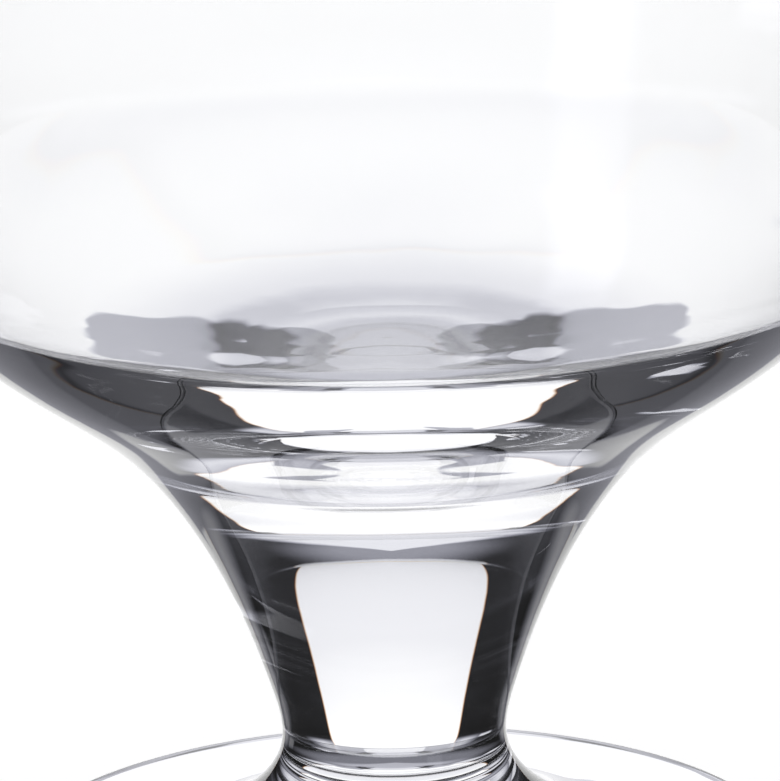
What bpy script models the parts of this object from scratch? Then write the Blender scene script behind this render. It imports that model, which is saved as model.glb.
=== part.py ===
"""Champagne coupe of clear glass: a blown bowl, a drawn stem and a pressed foot, fused end to end.

Each piece is a turned solid: half of its section is drawn at +X and swept round the Z axis.
The outer side is one smooth curve from the edge of the foot to the rim, so the three pieces
flow into each other. Units are metres, +Z is up, and the foot stands on z = 0 at the origin.
"""
import math

import bpy
import numpy as np

# Foot: a thin disc, slightly hollow underneath, that climbs to the stem
FOOT_DIAMETER = 0.0588
FOOT_EDGE = 0.0020
FOOT_SLOPE = 5.0
FOOT_HOLLOW = 0.00040
REST_RING_WIDTH = 0.0030
CROWN_DIAMETER = 0.0420
CROWN_RISE = 0.0010
FOOT_SEAM_DIAMETER = 0.0236
FOOT_SEAM_RISE = 0.0029

# Stem: solid glass, narrowest just above the foot, widening all the way up to the bowl.
# The rises are measured from the seam with the foot.
STEM_HEIGHT = 0.0285
WAIST_DIAMETER = 0.0167
WAIST_RISE = 0.0047
LOWER_STEM_DIAMETER = 0.0182
LOWER_STEM_RISE = 0.0095
MIDDLE_STEM_DIAMETER = 0.02276
MIDDLE_STEM_RISE = 0.0157
UPPER_STEM_DIAMETER = 0.02927
UPPER_STEM_RISE = 0.0220
BOWL_SEAM_DIAMETER = 0.03952

# Bowl: a round cup with a thick floor and a wall that thins towards the rim.
# The rises are measured from the seam with the stem.
BOWL_HEIGHT = 0.0475
RIM_DIAMETER = 0.08814
RIM_WALL = 0.0013
RIM_LEAN = 87.5
BASE_DIAMETER = 0.05857
BASE_RISE = 0.00726
BASE_WALL = 0.00452
UNDERSIDE_DIAMETER = 0.06638
UNDERSIDE_RISE = 0.01055
UNDERSIDE_WALL = 0.00297
TURN_DIAMETER = 0.07413
TURN_RISE = 0.01432
TURN_WALL = 0.00123
HAUNCH_DIAMETER = 0.08112
HAUNCH_RISE = 0.01824
HAUNCH_WALL = 0.00165
SIDE_DIAMETER = 0.08541
SIDE_RISE = 0.0277
SIDE_WALL = 0.00219
UPPER_SIDE_DIAMETER = 0.08732
UPPER_SIDE_RISE = 0.0372
UPPER_SIDE_WALL = 0.0015

# Floor of the bowl: a faint dome inside a ring, then a shallow dish out to the wall
FLOOR_THICKNESS = 0.00760
DOME_DIAMETER = 0.02272
DOME_RISE = 0.00019
DOME_SLOPE = 3.84
DISH_SLOPE = 10.66
DISH_DIAMETER = 0.04468
DISH_RISE = 0.00176

# Hairline left between two fused faces, so that the pieces stay separate solids
SEAM_GAP = 0.00005

# Fineness of the turned meshes
TURN_STEPS = 48
SPAN_STEPS = 4
ROUND_STEPS = 6
MERGE_DISTANCE = 0.00001
SHARP_ANGLE = math.radians(35.0)

# Heights over the table
CROWN_HEIGHT = FOOT_EDGE + CROWN_RISE
FOOT_SEAM_HEIGHT = CROWN_HEIGHT + FOOT_SEAM_RISE
BOWL_SEAM_HEIGHT = FOOT_SEAM_HEIGHT + STEM_HEIGHT
FLOOR_HEIGHT = BOWL_SEAM_HEIGHT + FLOOR_THICKNESS

# Stations of the outer side: diameter and height over the table, from the bottom up
FOOT_STATIONS = [
    (FOOT_DIAMETER - FOOT_EDGE, FOOT_EDGE),
    (CROWN_DIAMETER, CROWN_HEIGHT),
    (FOOT_SEAM_DIAMETER, FOOT_SEAM_HEIGHT),
]
STEM_STATIONS = [
    (WAIST_DIAMETER, FOOT_SEAM_HEIGHT + WAIST_RISE),
    (LOWER_STEM_DIAMETER, FOOT_SEAM_HEIGHT + LOWER_STEM_RISE),
    (MIDDLE_STEM_DIAMETER, FOOT_SEAM_HEIGHT + MIDDLE_STEM_RISE),
    (UPPER_STEM_DIAMETER, FOOT_SEAM_HEIGHT + UPPER_STEM_RISE),
    (BOWL_SEAM_DIAMETER, BOWL_SEAM_HEIGHT),
]
BOWL_STATIONS = [
    (BASE_DIAMETER, BOWL_SEAM_HEIGHT + BASE_RISE),
    (UNDERSIDE_DIAMETER, BOWL_SEAM_HEIGHT + UNDERSIDE_RISE),
    (TURN_DIAMETER, BOWL_SEAM_HEIGHT + TURN_RISE),
    (HAUNCH_DIAMETER, BOWL_SEAM_HEIGHT + HAUNCH_RISE),
    (SIDE_DIAMETER, BOWL_SEAM_HEIGHT + SIDE_RISE),
    (UPPER_SIDE_DIAMETER, BOWL_SEAM_HEIGHT + UPPER_SIDE_RISE),
    (RIM_DIAMETER, BOWL_SEAM_HEIGHT + BOWL_HEIGHT),
]

# Thickness of the wall at each bowl station
BOWL_WALLS = [
    BASE_WALL,
    UNDERSIDE_WALL,
    TURN_WALL,
    HAUNCH_WALL,
    SIDE_WALL,
    UPPER_SIDE_WALL,
    RIM_WALL,
]


def heading(degrees):
    """Unit vector in the section plane, measured from +X."""
    angle = math.radians(degrees)
    return np.array([math.cos(angle), math.sin(angle)])


def smooth_curve(stations, first_heading, last_heading):
    """Cubic spline through the stations, with SPAN_STEPS points on each span."""
    points = np.array(stations, dtype=float)
    spans = np.hypot(*np.diff(points, axis=0).T)
    chords = np.diff(points, axis=0) / spans[:, None]
    count = len(points)
    matrix = np.zeros((count, count))
    right = np.zeros((count, 2))
    matrix[0, :2] = 2 * spans[0], spans[0]
    right[0] = 6 * (chords[0] - heading(first_heading))
    matrix[-1, -2:] = spans[-1], 2 * spans[-1]
    right[-1] = 6 * (heading(last_heading) - chords[-1])
    for i in range(1, count - 1):
        matrix[i, i - 1:i + 2] = spans[i - 1], 2 * (spans[i - 1] + spans[i]), spans[i]
        right[i] = 6 * (chords[i] - chords[i - 1])
    bends = np.linalg.solve(matrix, right)
    curve = []
    for i in range(count - 1):
        for step in range(SPAN_STEPS):
            s = step / SPAN_STEPS
            a = 1 - s
            pull = (a ** 3 - a) * bends[i] + (s ** 3 - s) * bends[i + 1]
            curve.append(a * points[i] + s * points[i + 1] + spans[i] ** 2 / 6 * pull)
    curve.append(points[-1])
    return np.array(curve)


def arc(centre, radius, first, last):
    """Points of a circular arc between two headings in degrees, both ends included."""
    sweep = np.linspace(first, last, ROUND_STEPS + 1)
    return [centre + radius * heading(degrees) for degrees in sweep]


def outer_side():
    """The whole outer side, from the foot's edge to the rim, cut at the two seams."""
    stations = FOOT_STATIONS + STEM_STATIONS + BOWL_STATIONS
    halves = [(diameter / 2, height) for diameter, height in stations]
    curve = smooth_curve(halves, 180.0 - FOOT_SLOPE, RIM_LEAN)
    foot_seam = (len(FOOT_STATIONS) - 1) * SPAN_STEPS
    bowl_seam = foot_seam + len(STEM_STATIONS) * SPAN_STEPS
    return curve[:foot_seam + 1], curve[foot_seam:bowl_seam + 1], curve[bowl_seam:]


def inner_side(side):
    """The bowl's inside: the dome, the ring, the dish, then the wall's thickness off each station."""
    ring = (DOME_DIAMETER / 2, FLOOR_HEIGHT)
    dome = smooth_curve([(0.0, FLOOR_HEIGHT + DOME_RISE), ring], 0.0, DOME_SLOPE)
    stations = [ring, (DISH_DIAMETER / 2, FLOOR_HEIGHT + DISH_RISE)]
    steps = np.gradient(side, axis=0)[SPAN_STEPS::SPAN_STEPS]
    for place, step, wall in zip(side[SPAN_STEPS::SPAN_STEPS], steps, BOWL_WALLS):
        inward = np.array([-step[1], step[0]]) / np.hypot(*step)
        stations.append(place + wall * inward)
    return list(dome[:-1]) + list(smooth_curve(stations, DISH_SLOPE, RIM_LEAN))


def foot_section(side):
    """Half section of the foot: seam face, top, round edge, rest ring and the hollow below."""
    edge = FOOT_EDGE / 2
    ring_outer = FOOT_DIAMETER / 2 - edge
    ring_inner = ring_outer - REST_RING_WIDTH
    section = [(0.0, FOOT_SEAM_HEIGHT)]
    section += list(side[::-1])
    section += arc(np.array([ring_outer, edge]), edge, 90.0, -90.0)[1:]
    for step in range(ROUND_STEPS + 1):
        share = 1 - step / ROUND_STEPS
        section.append((ring_inner * share, FOOT_HOLLOW * (1 - share ** 2)))
    return section


def stem_section(side):
    """Half section of the stem, between its two seam faces."""
    side = side.copy()
    side[0, 1] += SEAM_GAP
    side[-1, 1] -= SEAM_GAP
    section = [(0.0, side[-1, 1])]
    section += list(side[::-1])
    section.append((0.0, side[0, 1]))
    return section


def bowl_section(side):
    """Half section of the bowl: floor, inner wall, round rim, outer wall and seam face."""
    inside = inner_side(side)
    across = side[-1] - inside[-1]
    tilt = math.degrees(math.atan2(across[1], across[0]))
    rim = arc((side[-1] + inside[-1]) / 2, np.hypot(*across) / 2, tilt + 180.0, tilt)
    section = list(inside)
    section += rim[1:-1]
    section += list(side[::-1])
    section.append((0.0, BOWL_SEAM_HEIGHT))
    return section


def glass_material(name, colour):
    """Clear glass: a Principled BSDF that lets all light through."""
    material = bpy.data.materials.new(name)
    material.use_nodes = True
    shader = material.node_tree.nodes["Principled BSDF"]
    shader.inputs["Base Color"].default_value = (*colour, 1.0)
    shader.inputs["Roughness"].default_value = 0.02
    shader.inputs["Metallic"].default_value = 0.0
    shader.inputs["Transmission Weight"].default_value = 1.0
    shader.inputs["IOR"].default_value = 1.51
    return material


def turned_piece(name, section, seat, colour, parent, collection):
    """Sweep a half section round the Z axis and stand the piece on its seat height."""
    verts = [(radius, 0.0, height - seat) for radius, height in section]
    edges = [(i, i + 1) for i in range(len(verts) - 1)]
    mesh = bpy.data.meshes.new(name)
    mesh.from_pydata(verts, edges, [])
    piece = bpy.data.objects.new(name, mesh)
    collection.objects.link(piece)
    screw = piece.modifiers.new("turn", "SCREW")
    screw.axis = "Z"
    screw.steps = TURN_STEPS
    screw.render_steps = TURN_STEPS
    screw.use_merge_vertices = True
    screw.merge_threshold = MERGE_DISTANCE
    screw.use_smooth_shade = True
    turned = bpy.data.meshes.new_from_object(piece.evaluated_get(bpy.context.evaluated_depsgraph_get()))
    turned.name = name
    turned.shade_smooth()
    turned.set_sharp_from_angle(angle=SHARP_ANGLE)
    piece.modifiers.remove(screw)
    piece.data = turned
    bpy.data.meshes.remove(mesh)
    turned.materials.append(glass_material(name + "_glass", colour))
    piece.parent = parent
    piece.location = (0.0, 0.0, seat)
    return piece


def main():
    for thing in list(bpy.data.objects):
        bpy.data.objects.remove(thing, do_unlink=True)
    collection = bpy.data.collections.new("champagne_glass")
    bpy.context.scene.collection.children.link(collection)
    axis = bpy.data.objects.new("glass_axis", None)
    collection.objects.link(axis)
    foot_side, stem_side, bowl_side = outer_side()
    foot = foot_section(foot_side)
    stem = stem_section(stem_side)
    bowl = bowl_section(bowl_side)
    turned_piece("foot", foot, 0.0, (0.95, 0.96, 0.97), axis, collection)
    turned_piece("stem", stem, FOOT_SEAM_HEIGHT, (0.95, 0.96, 0.97), axis, collection)
    turned_piece("bowl", bowl, BOWL_SEAM_HEIGHT, (0.96, 0.97, 0.98), axis, collection)


main()
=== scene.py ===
# %% [markdown]
# # A champagne coupe of clear glass
# The glass is three pieces that were joined while hot: a blown bowl, a solid drawn stem and
# a pressed foot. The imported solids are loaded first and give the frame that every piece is
# set in. They stay as they are: a finer piece stands in for each one.

# %% Load the frame
import math

import bpy
import numpy as np
from mathutils import Matrix, Vector


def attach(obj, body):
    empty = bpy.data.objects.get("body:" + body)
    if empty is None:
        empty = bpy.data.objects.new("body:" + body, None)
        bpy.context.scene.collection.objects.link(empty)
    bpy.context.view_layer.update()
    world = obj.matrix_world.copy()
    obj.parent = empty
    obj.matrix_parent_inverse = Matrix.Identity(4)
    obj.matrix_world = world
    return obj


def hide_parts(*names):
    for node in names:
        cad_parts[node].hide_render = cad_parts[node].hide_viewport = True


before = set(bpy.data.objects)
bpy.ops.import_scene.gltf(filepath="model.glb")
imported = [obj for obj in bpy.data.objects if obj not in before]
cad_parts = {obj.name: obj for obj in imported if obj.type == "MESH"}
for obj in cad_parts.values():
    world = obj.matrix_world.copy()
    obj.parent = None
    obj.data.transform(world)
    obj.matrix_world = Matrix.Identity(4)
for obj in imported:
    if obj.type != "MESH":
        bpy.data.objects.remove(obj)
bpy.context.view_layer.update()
scene = bpy.context.scene

# %% [markdown]
# ## The camera
# The picture is a close view of the stem and of the bowl's floor, taken from a little above
# with a long lens, so the bowl's two sides and most of the foot run out of the frame. The
# camera could be aimed by a constraint, but three axes written out as a matrix also give the
# slight turn of the picture.

# %% Set up the camera
IMAGE_WIDTH = 780
IMAGE_HEIGHT = 781
PIXELS_PER_METRE = 13600.0
CAMERA_RANGE = 0.8
CAMERA_ELEVATION = math.radians(17.0)
CAMERA_ROLL = math.radians(1.1)
SENSOR_WIDTH = 36.0
SEEN_HEIGHT = 0.02456
SEEN_AT = Vector((391.1, 560.0))


def camera_matrix():
    """Place the camera so that SEEN_HEIGHT on the glass's axis falls on the pixel SEEN_AT."""
    ahead = Vector((0.0, math.cos(CAMERA_ELEVATION), -math.sin(CAMERA_ELEVATION)))
    up = Vector((0.0, math.sin(CAMERA_ELEVATION), math.cos(CAMERA_ELEVATION)))
    right = Vector((1.0, 0.0, 0.0))
    turned_right = right * math.cos(CAMERA_ROLL) - up * math.sin(CAMERA_ROLL)
    turned_up = right * math.sin(CAMERA_ROLL) + up * math.cos(CAMERA_ROLL)
    aside = (SEEN_AT.x - IMAGE_WIDTH / 2) / PIXELS_PER_METRE
    above = (SEEN_AT.y - IMAGE_HEIGHT / 2) / PIXELS_PER_METRE
    target = Vector((0.0, 0.0, SEEN_HEIGHT)) - turned_right * aside + turned_up * above
    place = target - ahead * CAMERA_RANGE
    turn = Matrix((turned_right, turned_up, -ahead)).transposed().to_4x4()
    return Matrix.Translation(place) @ turn


camera_data = bpy.data.cameras.new("camera")
camera_data.sensor_width = SENSOR_WIDTH
camera_data.lens = SENSOR_WIDTH * CAMERA_RANGE * PIXELS_PER_METRE / IMAGE_HEIGHT
camera_data.clip_start = 0.001
camera = bpy.data.objects.new("camera", camera_data)
camera.matrix_world = camera_matrix()
scene.collection.objects.link(camera)
scene.camera = camera
print("lens", round(camera_data.lens), "mm, camera at", [round(v, 3) for v in camera.location])

# %% [markdown]
# ## Sums written as Python
# The lathe below and the finishes after it both need sums on values that flow through nodes.
# A small class wraps one output socket, so that a sum such as 1 - mask adds its Math nodes by
# itself. Any other node comes from its one method, settings first and sockets second.

# %% A socket that can be used in sums


class Wire:
    """An output socket of a node tree."""

    def __init__(self, tree, socket):
        self.tree = tree
        self.socket = socket

    @classmethod
    def node(cls, tree, kind, settings=None, values=None, output=0):
        """Add a node: set its settings, then its sockets, and give back one output."""
        made = tree.nodes.new(kind)
        for name, value in (settings or {}).items():
            if name == "stops":
                cls.set_stops(made.color_ramp, value)
            else:
                setattr(made, name, value)
        for name, value in (values or {}).items():
            if isinstance(value, Wire):
                tree.links.new(value.socket, made.inputs[name])
            else:
                made.inputs[name].default_value = value
        return cls(tree, made.outputs[output]) if made.outputs else None

    @staticmethod
    def set_stops(ramp, stops):
        """Give a colour ramp its stops, as pairs of place and colour."""
        while len(ramp.elements) < len(stops):
            ramp.elements.new(1.0)
        for element, (place, colour) in zip(ramp.elements, stops):
            element.position = place
            element.color = (*colour, 1.0)

    def other(self, name):
        """Another output of the same node."""
        return Wire(self.tree, self.socket.node.outputs[name])

    def math(self, operation, *values):
        """A Math node on this value and others, in this order."""
        sockets = dict(enumerate((self,) + values))
        return Wire.node(self.tree, "ShaderNodeMath", {"operation": operation}, sockets)

    def step(self, start, end):
        """Zero before start, one after end, smooth between them."""
        values = {"Value": self, "From Min": start, "From Max": end}
        return Wire.node(
            self.tree, "ShaderNodeMapRange", {"interpolation_type": "SMOOTHSTEP"}, values
        )

    def __add__(self, value):
        return self.math("ADD", value)

    __radd__ = __add__

    def __mul__(self, value):
        return self.math("MULTIPLY", value)

    __rmul__ = __mul__

    def __sub__(self, value):
        return self.math("SUBTRACT", value)

    def __rsub__(self, value):
        settings = {"operation": "SUBTRACT"}
        return Wire.node(self.tree, "ShaderNodeMath", settings, {0: value, 1: self})

    def __truediv__(self, value):
        return self.math("DIVIDE", value)

    def __rtruediv__(self, value):
        settings = {"operation": "DIVIDE"}
        return Wire.node(self.tree, "ShaderNodeMath", settings, {0: value, 1: self})


print("operators ready:", "+ - * /")

# %% [markdown]
# ## The outer side
# One smooth line runs from the foot's edge up the stem and on to the rim, because the maker
# joins the pieces hot and the seams melt away. A Bezier curve could be bent to it by hand. A
# spline through a few measured diameters is easier to check, and its slope and its bend stay
# continuous, which matters here: glass shows any kink as a line.

# %% Draw the outer side
FOOT_DIAMETER = 0.0588
FOOT_EDGE = 0.0020
FOOT_SLOPE = 5.0
RIM_LEAN = 87.5
FOOT_STATIONS = [(0.0568, 0.0020), (0.0420, 0.0030), (0.0236, 0.0059)]
STEM_STATIONS = [
    (0.01670, 0.01060),
    (0.01820, 0.01540),
    (0.02276, 0.02160),
    (0.02927, 0.02790),
    (0.03952, 0.03440),
]
BOWL_STATIONS = [
    (0.05857, 0.04166),
    (0.06638, 0.04495),
    (0.07413, 0.04872),
    (0.08112, 0.05264),
    (0.08541, 0.06210),
    (0.08732, 0.07160),
    (0.08814, 0.08190),
]
SPAN_STEPS = 12


def heading(degrees):
    """Unit vector in the section plane, measured from +X."""
    angle = math.radians(degrees)
    return np.array([math.cos(angle), math.sin(angle)])


def smooth_line(stations, first, last):
    """Points and slopes of a cubic spline through the stations, with both end headings given."""
    points = np.array(stations, dtype=float)
    spans = np.hypot(*np.diff(points, axis=0).T)
    chords = np.diff(points, axis=0) / spans[:, None]
    count = len(points)
    matrix = np.zeros((count, count))
    right = np.zeros((count, 2))
    matrix[0, :2] = 2 * spans[0], spans[0]
    matrix[-1, -2:] = spans[-1], 2 * spans[-1]
    right[0] = 6 * (chords[0] - heading(first))
    right[-1] = 6 * (heading(last) - chords[-1])
    for i in range(1, count - 1):
        matrix[i, i - 1:i + 2] = spans[i - 1], 2 * (spans[i - 1] + spans[i]), spans[i]
        right[i] = 6 * (chords[i] - chords[i - 1])
    bends = np.linalg.solve(matrix, right)
    places = []
    slopes = []
    for i in range(count - 1):
        last_span = i == count - 2
        for s in np.arange(SPAN_STEPS + last_span) / SPAN_STEPS:
            a = 1 - s
            pull = (a ** 3 - a) * bends[i] + (s ** 3 - s) * bends[i + 1]
            lean = (1 - 3 * a ** 2) * bends[i] + (3 * s ** 2 - 1) * bends[i + 1]
            places.append(a * points[i] + s * points[i + 1] + spans[i] ** 2 / 6 * pull)
            slopes.append(chords[i] + spans[i] / 6 * lean)
    return np.array(places), np.array(slopes)


stations = FOOT_STATIONS + STEM_STATIONS + BOWL_STATIONS
halves = [(diameter / 2, height) for diameter, height in stations]
outer, outer_slopes = smooth_line(halves, 180.0 - FOOT_SLOPE, RIM_LEAN)
foot_seam = (len(FOOT_STATIONS) - 1) * SPAN_STEPS
bowl_seam = foot_seam + len(STEM_STATIONS) * SPAN_STEPS
print("outer side:", len(outer), "points, waist", round(2000 * outer[:, 0].min(), 2), "mm")

# %% [markdown]
# ## The inside of the bowl
# The bowl's floor is thick and has a faint dome in its middle, with a ring round it where the
# dome meets a shallow dish. The wall is thinnest where the bowl turns up and a little thicker
# on the side above. The inside could be an offset of the outer side by one thickness, but a
# blown wall is never even, so each station has its own.

# %% Draw the inside and the rim
FLOOR_HEIGHT = 0.04200
DOME_RADIUS = 0.01136
DOME_RISE = 0.00019
DOME_SLOPE = 3.84
DISH_SLOPE = 10.66
DISH_STATION = (0.02234, 0.04376)
WALLS = [0.00452, 0.00297, 0.00123, 0.00165, 0.00219, 0.00150, 0.00130]
RIM_STEPS = 12


def arc(centre, radius, first, last, steps):
    """Points of a circular arc between two headings, both ends included."""
    return [centre + radius * heading(d) for d in np.linspace(first, last, steps + 1)]


def inside_of(side, slopes):
    """The dome, the ring, the dish and then the wall, from the axis up to the rim."""
    ring = (DOME_RADIUS, FLOOR_HEIGHT)
    dome = smooth_line([(0.0, FLOOR_HEIGHT + DOME_RISE), ring], 0.0, DOME_SLOPE)[0]
    places = [ring, DISH_STATION]
    at_stations = slice(SPAN_STEPS, None, SPAN_STEPS)
    for place, slope, wall in zip(side[at_stations], slopes[at_stations], WALLS):
        inward = np.array([-slope[1], slope[0]]) / np.hypot(*slope)
        places.append(place + wall * inward)
    return list(dome[:-1]) + list(smooth_line(places, DISH_SLOPE, RIM_LEAN)[0])


bowl_side = outer[bowl_seam:]
inside = inside_of(bowl_side, outer_slopes[bowl_seam:])
across = bowl_side[-1] - inside[-1]
tilt = math.degrees(math.atan2(across[1], across[0]))
rim = arc((bowl_side[-1] + inside[-1]) / 2, np.hypot(*across) / 2, tilt + 180.0, tilt, RIM_STEPS)
print("inside:", len(inside), "points, rim wall", round(1000 * np.hypot(*across), 2), "mm")

# %% [markdown]
# ## The three half sections
# Each piece is half a section that starts and ends on the axis. The bowl runs from its floor
# over the rim and down to the seam with the stem. The stem is a solid rod between two seams.
# The foot has a round edge, a ring to stand on and a slight hollow under it, so that it
# doesn't rock.

# %% Close the half sections
REST_RING_WIDTH = 0.0030
FOOT_HOLLOW = 0.00040
EDGE_STEPS = 12
HOLLOW_STEPS = 24


def foot_half(side):
    """Seam face, top, round edge, rest ring and hollow, from the axis back to the axis."""
    edge = FOOT_EDGE / 2
    ring_outer = FOOT_DIAMETER / 2 - edge
    ring_inner = ring_outer - REST_RING_WIDTH
    places = [(0.0, side[-1, 1])]
    places += list(side[::-1])
    places += arc(np.array([ring_outer, edge]), edge, 90.0, -90.0, EDGE_STEPS)[1:]
    for share in np.linspace(1.0, 0.0, HOLLOW_STEPS + 1):
        places.append((ring_inner * share, FOOT_HOLLOW * (1 - share ** 2)))
    return np.array(places)


stem_side = outer[foot_seam:bowl_seam + 1]
axis_top = [(0.0, stem_side[-1, 1])]
axis_bottom = [(0.0, stem_side[0, 1])]
half_sections = {
    "glass_bowl": np.array(list(inside) + rim[1:-1] + list(bowl_side[::-1]) + axis_top),
    "glass_stem": np.array(axis_top + list(stem_side[::-1]) + axis_bottom),
    "glass_foot": foot_half(outer[:foot_seam + 1]),
}
for name, half in half_sections.items():
    print(name, len(half), "points, widest", round(2000 * half[:, 0].max(), 1), "mm")

# %% [markdown]
# ## A lathe in Geometry Nodes
# Every piece is round about one axis, so one rule makes them all: take a grid, let its rows
# follow the half section and turn its columns round the axis. A Screw modifier would turn it
# too. The node lathe can also add what a real glass has, a very slight waviness left by the
# blowing, which follows a seeded noise and dies out at the seams, and it marks the seam faces
# for their own material.

# %% Build the lathe tree
lathe = bpy.data.node_groups.new("turned_glass", "GeometryNodeTree")
LATHE_INPUTS = [
    ("Half Section", "NodeSocketGeometry"),
    ("Turn Steps", "NodeSocketInt"),
    ("Waviness", "NodeSocketFloat"),
    ("Wave Length", "NodeSocketFloat"),
    ("Seed", "NodeSocketInt"),
    ("Glass", "NodeSocketMaterial"),
    ("Seam", "NodeSocketMaterial"),
]
lathe_socket = {}
for title, kind in LATHE_INPUTS:
    socket = lathe.interface.new_socket(title, in_out="INPUT", socket_type=kind)
    lathe_socket[title] = socket.identifier
lathe.interface.new_socket("Piece", in_out="OUTPUT", socket_type="NodeSocketGeometry")

asked = Wire.node(lathe, "NodeGroupInput", output="Half Section")
half_section = asked
turn_steps = asked.other("Turn Steps")
rows = Wire.node(
    lathe, "GeometryNodeAttributeDomainSize", None, {"Geometry": half_section}, "Point Count"
)
columns = turn_steps + 1
grid = Wire.node(lathe, "GeometryNodeMeshGrid", None, {"Vertices X": rows, "Vertices Y": columns})
index = Wire.node(lathe, "GeometryNodeInputIndex")
print("lathe inputs:", list(lathe_socket))

# %% Read the half section row by row


def at_row(name, data_type, row):
    """The value of one of the half section's attributes at a row."""
    if name == "position":
        value = Wire.node(lathe, "GeometryNodeInputPosition")
    else:
        settings = {"data_type": data_type}
        value = Wire.node(lathe, "GeometryNodeInputNamedAttribute", settings, {"Name": name})
    values = {"Geometry": half_section, "Value": value, "Index": row}
    return Wire.node(lathe, "GeometryNodeSampleIndex", {"data_type": data_type}, values)


row = (index / columns).math("FLOOR")
angle = (index - row * columns) * math.tau / turn_steps
section_place = at_row("position", "FLOAT_VECTOR", row)
place = Wire.node(lathe, "ShaderNodeSeparateXYZ", None, {"Vector": section_place})
radius = place.other("X")
height = place.other("Z")
section_facing = at_row("facing", "FLOAT_VECTOR", row)
facing = Wire.node(lathe, "ShaderNodeSeparateXYZ", None, {"Vector": section_facing})
print("rows sampled by index, columns turned round the axis")

# %% Turn the rows and add the waviness


def turned(out, up):
    """A vector of the section plane, turned round the axis by the column's angle."""
    values = {"X": out * angle.math("COSINE"), "Y": out * angle.math("SINE"), "Z": up}
    return Wire.node(lathe, "ShaderNodeCombineXYZ", None, values)


noise = Wire.node(
    lathe,
    "ShaderNodeTexNoise",
    {"noise_dimensions": "4D"},
    {
        "Vector": turned(radius, height),
        "W": asked.other("Seed"),
        "Scale": 1.0 / asked.other("Wave Length"),
        "Detail": 1.0,
    },
)
push = (noise - 0.5) * asked.other("Waviness") * at_row("wavy", "FLOAT", row)
spot = turned(radius + push * facing.other("X"), height + push * facing.other("Z"))
shaped = Wire.node(lathe, "GeometryNodeSetPosition", None, {"Geometry": grid, "Position": spot})

face_row = (index / turn_steps).math("FLOOR")
marked = Wire.node(
    lathe,
    "GeometryNodeStoreNamedAttribute",
    {"data_type": "BOOLEAN", "domain": "FACE"},
    {"Geometry": shaped, "Name": "seam_face", "Value": at_row("seam", "FLOAT", face_row)},
)
print("waviness follows the wall's own facing")

# %% Close the turn and give the materials
CLOSE_DISTANCE = 0.000002
closed = Wire.node(
    lathe, "GeometryNodeMergeByDistance", None, {"Geometry": marked, "Distance": CLOSE_DISTANCE}
)
smooth = Wire.node(lathe, "GeometryNodeSetShadeSmooth", None, {"Geometry": closed})
real = Wire.node(lathe, "GeometryNodeRealizeInstances", None, {"Geometry": smooth})
all_glass = Wire.node(
    lathe, "GeometryNodeSetMaterial", None, {"Geometry": real, "Material": asked.other("Glass")}
)
on_seam = Wire.node(
    lathe, "GeometryNodeInputNamedAttribute", {"data_type": "BOOLEAN"}, {"Name": "seam_face"}
)
finished = Wire.node(
    lathe,
    "GeometryNodeSetMaterial",
    None,
    {"Geometry": all_glass, "Selection": on_seam, "Material": asked.other("Seam")},
)
Wire.node(lathe, "NodeGroupOutput", None, {"Piece": finished})
print("lathe nodes:", len(lathe.nodes))

# %% [markdown]
# ## Clear glass
# The glass itself has almost no colour. What shows is how its surfaces bend the light, so the
# finish is a Principled shader with full transmission and the index of soda glass. A hand
# polished surface still has the faintest ripple: two noises on Object coordinates drive a
# Bump node, one as wide as a fingertip and one much finer, and a third leaves slight wash
# marks in the roughness.

# %% Make the glass materials
GLASS_INDEX = 1.51
BROAD_RIPPLE = 90.0
FINE_RIPPLE = 420.0
FINE_SHARE = 0.12
WASH_MARKS = 55.0
WASH_ROUGHNESS = 0.006


def glass_material(name, tint, ripple):
    """Clear glass with a faint ripple; ripple is the height of the bump in metres."""
    material = bpy.data.materials.new(name)
    material.use_nodes = True
    tree = material.node_tree
    tree.nodes.clear()
    where = Wire.node(tree, "ShaderNodeTexCoord", output="Object")

    def noise_of(scale, detail):
        values = {"Vector": where, "Scale": scale, "Detail": detail}
        return Wire.node(tree, "ShaderNodeTexNoise", None, values)

    broad = noise_of(BROAD_RIPPLE, 1.0)
    fine = noise_of(FINE_RIPPLE, 1.0)
    wash = noise_of(WASH_MARKS, 3.0)
    bump = Wire.node(
        tree,
        "ShaderNodeBump",
        None,
        {"Strength": 1.0, "Distance": ripple, "Height": broad + FINE_SHARE * fine},
    )
    shader = Wire.node(
        tree,
        "ShaderNodeBsdfPrincipled",
        None,
        {
            "Base Color": (*tint, 1.0),
            "Roughness": WASH_ROUGHNESS * wash.step(0.45, 0.75),
            "IOR": GLASS_INDEX,
            "Transmission Weight": 1.0,
            "Normal": bump,
        },
    )
    Wire.node(tree, "ShaderNodeOutputMaterial", None, {"Surface": shader})
    return material


glasses = {
    "glass_bowl": glass_material("bowl_clear_glass", (0.985, 0.987, 0.992), 0.000004),
    "glass_stem": glass_material("stem_clear_glass", (0.985, 0.988, 0.992), 0.000004),
    "glass_foot": glass_material("foot_clear_glass", (0.985, 0.988, 0.992), 0.000006),
}
print("glass finishes:", [m.name for m in glasses.values()])

# %% [markdown]
# ## The fused seams
# Where two pieces were joined hot there is no surface any more: light goes straight through.
# Each piece still has to be a closed body, so its seam face stays and carries a material that
# is fully clear. Leaving the face out would open the mesh, and plain glass there would act as
# a mirror inside the stem.

# %% Make the seam material
fused_seam = bpy.data.materials.new("fused_seam")
fused_seam.use_nodes = True
seam_shader = fused_seam.node_tree.nodes["Principled BSDF"]
seam_shader.inputs["Base Color"].default_value = (1.0, 1.0, 1.0, 1.0)
seam_shader.inputs["Alpha"].default_value = 0.0
print("seam material:", fused_seam.name)

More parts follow.
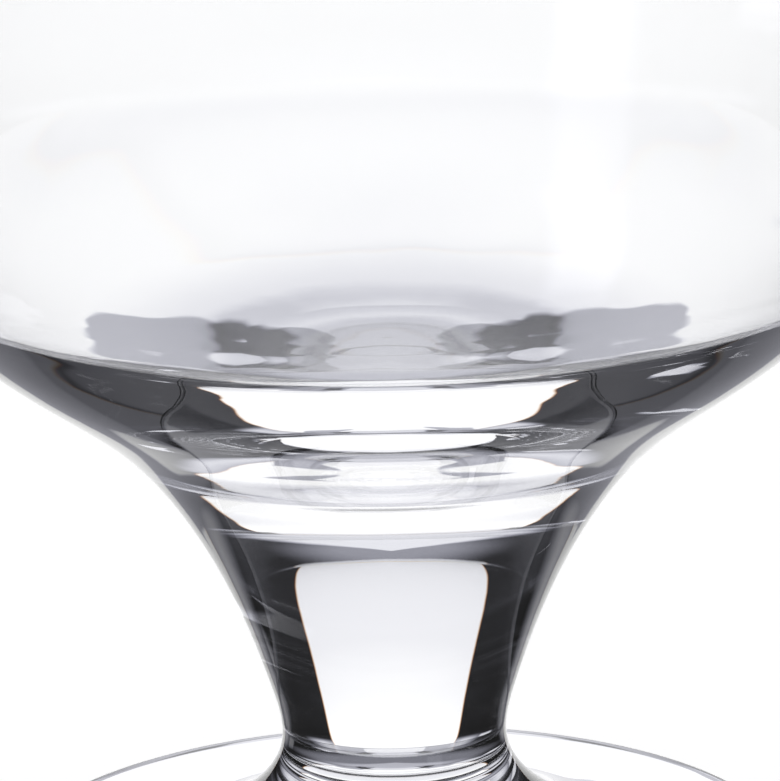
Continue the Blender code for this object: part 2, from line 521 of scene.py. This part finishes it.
# %% [markdown]
# ## Turning the pieces
# A half section becomes a line of points that carries three attributes: which way its surface
# faces, how wavy it may be and which of its steps is a seam. The lathe turns it, and the
# result is kept as a plain mesh. At the two seam rings the facing is written from the spline
# itself, so that neighbours agree there to the last digit and no line shows.

# %% Turn the three pieces
TURN_STEPS = 256
WAVE_LENGTH = 0.0028
WAVINESS = 0.000014
WAVE_SEED = 4
CALM_REACH = 0.004
seam_rings = [(outer[i], outer_slopes[i]) for i in (foot_seam, bowl_seam)]
calm_places = [ring for ring, slope in seam_rings] + [bowl_side[-1], inside[-1], outer[0]]


def add_attribute(mesh, name, kind, values):
    """Store one value per point of the half section."""
    attribute = mesh.attributes.new(name, kind, "POINT")
    field = "vector" if kind == "FLOAT_VECTOR" else "value"
    attribute.data.foreach_set(field, np.array(values, dtype=np.float32).ravel())


def section_mesh(name, half):
    """The half section as a line of points with its attributes."""
    mesh = bpy.data.meshes.new(name)
    verts = [(out, 0.0, up) for out, up in half]
    mesh.from_pydata(verts, [(i, i + 1) for i in range(len(half) - 1)], [])
    slope = np.gradient(half, axis=0)
    slope /= np.hypot(*slope.T)[:, None]
    gaps = [np.hypot(*(half - place).T) for place in calm_places]
    share = np.clip(np.min(gaps, axis=0) / CALM_REACH, 0.0, 1.0)
    wavy = share ** 2 * (3 - 2 * share) * (half[:, 1] > FOOT_EDGE)
    level = np.append(np.abs(np.diff(half[:, 1])) < 1e-9, False)
    to_axis = np.append(np.minimum(half[:-1, 0], half[1:, 0]) < 1e-9, False)
    add_attribute(mesh, "facing", "FLOAT_VECTOR", [(-up, 0.0, out) for out, up in slope])
    add_attribute(mesh, "wavy", "FLOAT", wavy)
    add_attribute(mesh, "seam", "FLOAT", level & to_axis)
    return mesh


def turned_piece(name, half):
    """Run the lathe on a half section and keep the result as a plain mesh."""
    piece = bpy.data.objects.new(name, section_mesh(name + "_half", half))
    scene.collection.objects.link(piece)
    lathe_step = piece.modifiers.new("lathe", "NODES")
    lathe_step.node_group = lathe
    lathe_step[lathe_socket["Turn Steps"]] = TURN_STEPS
    lathe_step[lathe_socket["Waviness"]] = WAVINESS
    lathe_step[lathe_socket["Wave Length"]] = WAVE_LENGTH
    lathe_step[lathe_socket["Seed"]] = WAVE_SEED
    lathe_step[lathe_socket["Glass"]] = glasses[name]
    lathe_step[lathe_socket["Seam"]] = fused_seam
    evaluated = piece.evaluated_get(bpy.context.evaluated_depsgraph_get())
    mesh = bpy.data.meshes.new_from_object(evaluated)
    mesh.name = name
    mesh.materials.pop(index=0)
    piece.modifiers.remove(lathe_step)
    piece.data = mesh
    return piece


pieces = {}
for name, half in half_sections.items():
    pieces[name] = turned_piece(name, half)
    made = pieces[name].data
    print(name, len(made.polygons), "faces,", len(made.materials), "finishes")

# %% Write the facing at the seam rings
RING_REACH = 0.000002


def settle_seams(mesh):
    """Give the points of a seam ring the facing of the spline."""
    count = len(mesh.vertices)
    spots = np.zeros(count * 3)
    facings = np.zeros(count * 3)
    mesh.vertices.foreach_get("co", spots)
    mesh.vertex_normals.foreach_get("vector", facings)
    spots = spots.reshape(-1, 3)
    facings = facings.reshape(-1, 3)
    far = np.hypot(spots[:, 0], spots[:, 1])
    settled = 0
    for ring, slope in seam_rings:
        near = np.abs(far - ring[0]) < RING_REACH
        near &= np.abs(spots[:, 2] - ring[1]) < RING_REACH
        out, up = np.array([slope[1], -slope[0]]) / np.hypot(*slope)
        facings[near, :2] = spots[near, :2] / far[near, None] * out
        facings[near, 2] = up
        settled += near.sum()
    mesh.normals_split_custom_set_from_vertices(facings)
    return settled


for name, piece in pieces.items():
    print(name, "seam ring points:", settle_seams(piece.data))

# %% [markdown]
# ## The floor
# The glass stands on a plain white table. The camera sees it as white paper that keeps the
# glass's faint shadow: a soft diffuse part takes the light of the room and the rest is a
# steady white. It is kept out of refraction, because the room below draws what the glass
# bends into view.

# %% Lay the floor
FLOOR_SIZE = 30.0
FLOOR_GREY = 0.5
FLOOR_GLOW = 0.9
floor_mesh = bpy.data.meshes.new("floor")
half_floor = FLOOR_SIZE / 2
corners = [(-1, -1), (1, -1), (1, 1), (-1, 1)]
floor_spots = [(x * half_floor, y * half_floor, 0.0) for x, y in corners]
floor_mesh.from_pydata(floor_spots, [], [(0, 1, 2, 3)])
floor = bpy.data.objects.new("floor", floor_mesh)
scene.collection.objects.link(floor)
floor.visible_transmission = False
floor.visible_glossy = False

floor_white = bpy.data.materials.new("floor_white")
floor_white.use_nodes = True
tree = floor_white.node_tree
tree.nodes.clear()
grey = (FLOOR_GREY, FLOOR_GREY, FLOOR_GREY, 1.0)
white = (1.0, 1.0, 1.0, 1.0)
paper = Wire.node(tree, "ShaderNodeBsdfDiffuse", None, {"Color": grey})
steady = Wire.node(tree, "ShaderNodeEmission", None, {"Color": white, "Strength": FLOOR_GLOW})
both = Wire.node(tree, "ShaderNodeAddShader", None, {0: paper, 1: steady})
seen = Wire.node(tree, "ShaderNodeLightPath", output="Is Camera Ray")
surface = Wire.node(tree, "ShaderNodeMixShader", None, {0: seen, 1: paper, 2: both})
Wire.node(tree, "ShaderNodeOutputMaterial", None, {"Surface": surface})
floor_mesh.materials.append(floor_white)
print("floor:", FLOOR_SIZE, "m wide")

# %% [markdown]
# ## The room
# Clear glass is drawn by what stands round it. The usual way to light it is a white backdrop
# straight behind, a white ceiling and dark walls at the sides: the backdrop fills the middle,
# and the dark walls draw black edges where the glass bends the view away. Lamps and cards
# could be set up one by one. Here the world is painted by direction instead, with soft edged
# panels given by their bearing and their elevation in degrees.

# %% Read the direction
world = bpy.data.worlds.new("studio")
scene.world = world
world.use_nodes = True
tree = world.node_tree
tree.nodes.clear()
toward = Wire.node(tree, "ShaderNodeTexCoord", output="Generated")
parts = Wire.node(tree, "ShaderNodeSeparateXYZ", None, {"Vector": toward})
bearing = parts.other("X").math("ARCTAN2", parts.other("Y")) * math.degrees(1.0)
elevation = parts.other("Z").math("ARCSINE") * math.degrees(1.0)
aside = bearing.math("ABSOLUTE")


def between(value, low, high, soft):
    """One between two edges, with soft edges of the given width."""
    rise = value.step(low - soft / 2, low + soft / 2)
    return rise * (1 - value.step(high - soft / 2, high + soft / 2))


def panel(light, sides, heights):
    """A patch with four soft edges: what is measured, its two edges and their softness."""
    return light * between(*sides) * between(*heights)


def brightest(first, *others):
    """The largest of several values."""
    for other in others:
        first = first.math("MAXIMUM", other)
    return first


print("bearing 0 is straight behind the glass, elevation 0 is level")

# %% [markdown]
# ## What stands in the room
# The table is pale and on each side two shadows lie on it, one in the other. They draw the
# grey wings and the darker flanks on the bowl's floor, and their edges lean outwards as they
# come nearer to the glass. Two low cards stand next to the backdrop, the ceiling is pale, and
# three windows in the dark walls give the other sides of the glass a bright ground to be seen
# against. The photo shows none of these things, only what the glass makes of them.

# %% Set up the panels
WINDOW_LIGHT = 0.7
WINDOWS = [
    ((-51.0, -40.0, 4.0), (-35.0, -17.0, 4.0)),
    ((-97.0, -83.0, 5.0), (-9.5, 5.0, 3.0)),
    ((131.0, 146.0, 5.0), (-38.0, -5.0, 5.0)),
]
wide_edge = aside - 5.6 * (1 - elevation.step(-37.5, -29.5))
wide_shadow = panel(0.56, (wide_edge, 7.3, 20.0, 1.0), (elevation, -60.0, -29.7, 1.2))
deep_edge = aside + 0.8 * (elevation + 45.0)
deep_height = elevation - 0.35 * aside
deep_shadow = panel(0.95, (deep_edge, 9.0, 16.0, 2.0), (deep_height, -62.0, -47.2, 0.8))
unshadowed = (1 - wide_shadow) * (1 - deep_shadow)
front_fall = 1 - 0.6 * aside.step(30.0, 60.0)
table = 0.42 * (1 - elevation.step(-62.0, -35.0)) * unshadowed * front_fall
ceiling = 0.72 * (1 - aside.step(38.0, 58.0)) * elevation.step(37.0, 45.0)
overhead = 0.25 * elevation.step(58.0, 80.0)
cards = panel(0.67, (aside, 24.0, 37.0, 14.0), (elevation, -44.0, -17.0, 8.0))
windows = brightest(
    *(panel(WINDOW_LIGHT, (bearing, *sides), (elevation, *heights)) for sides, heights in WINDOWS)
)
surroundings = brightest(table, ceiling, overhead, cards, windows)
print("panels: table, ceiling, cards and three windows for the other sides")

# %% [markdown]
# ## The backdrop and its colours
# The backdrop is a paper sheet that sweeps down behind the glass. Its light changes with
# height, given as stops from the ground below to the top. Glass bends blue a little more
# than red, so a sharp edge seen through it gets a blue or a yellow fringe. A glass shader
# bends all colours alike, so the sheet's edges are set apart for red, green and blue by a
# fraction of a degree, which draws the same fringes. The greys lean to a cool blue, as paper
# in shadow does.

# %% Hang the backdrop and colour the room
ROOM_STRENGTH = 1.18
DARK_WALL = 0.010
SHEET_EDGE = 24.8
SHEET_TOP = 40.0
SHEET_LIGHT = [
    (-90.0, 0.34),
    (-58.0, 0.38),
    (-52.0, 0.72),
    (-42.7, 0.55),
    (-41.9, 0.77),
    (-38.0, 0.86),
    (-34.0, 0.95),
    (-30.0, 1.00),
    (-2.0, 1.00),
    (9.0, 0.81),
    (40.0, 0.76),
]
EDGE_SOFT = 0.5
TOP_SOFT = 1.0
FRINGE = 0.10
TOP_FRINGE = 4.0
GREEN_COOL = 0.01
BLUE_COOL = 0.22
stops = [((degrees + 90.0) / 180.0, (value, value, value)) for degrees, value in SHEET_LIGHT]
share = (elevation + 90.0) / 180.0
by_height = Wire.node(tree, "ShaderNodeValToRGB", {"stops": stops}, {"Fac": share})
sheet_light = by_height * unshadowed


def channel(spread, cool):
    """One colour of the room: its sheet edge moves by spread, its greys rise by cool."""
    edge = SHEET_EDGE + spread
    top = SHEET_TOP + TOP_FRINGE * spread
    inside_edges = 1 - aside.step(edge - EDGE_SOFT, edge + EDGE_SOFT)
    under_top = 1 - elevation.step(top - TOP_SOFT, top + TOP_SOFT)
    lit = brightest(surroundings, inside_edges * under_top * sheet_light)
    return DARK_WALL + (1 - DARK_WALL) * lit * (1 + cool * (1 - lit))


channels = {
    "Red": channel(FRINGE, 0.0),
    "Green": channel(0.0, GREEN_COOL),
    "Blue": channel(-FRINGE, BLUE_COOL),
}
room = Wire.node(tree, "ShaderNodeCombineColor", None, channels)
room_values = {"Color": room, "Strength": ROOM_STRENGTH}
room_light = Wire.node(tree, "ShaderNodeBackground", None, room_values)
white_light = Wire.node(tree, "ShaderNodeBackground", None, {"Color": white, "Strength": 1.0})
by_camera = Wire.node(tree, "ShaderNodeLightPath", output="Is Camera Ray")
light = Wire.node(tree, "ShaderNodeMixShader", None, {0: by_camera, 1: room_light, 2: white_light})
Wire.node(tree, "ShaderNodeOutputWorld", None, {"Surface": light})
print("room nodes:", len(tree.nodes))

# %% [markdown]
# ## Light inside the glass
# A ray meets many surfaces inside a stemmed glass before it leaves: walls, floor, stem sides
# and both seam faces. Too few bounces would turn the stem black, so the limits are raised.

# %% Let the light go round
scene.cycles.max_bounces = 24
scene.cycles.transmission_bounces = 24
scene.cycles.glossy_bounces = 12
scene.cycles.transparent_max_bounces = 32
scene.view_settings.view_transform = "Standard"
print("bounces:", scene.cycles.max_bounces)

# %% [markdown]
# ## Handing over
# Each turned piece takes the place of its solid and rides on the one body that a glass without
# joints has.

# %% Bind the pieces to the frame
for name, piece in pieces.items():
    node = name.replace("glass_", "")
    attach(piece, "root")
    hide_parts(node)
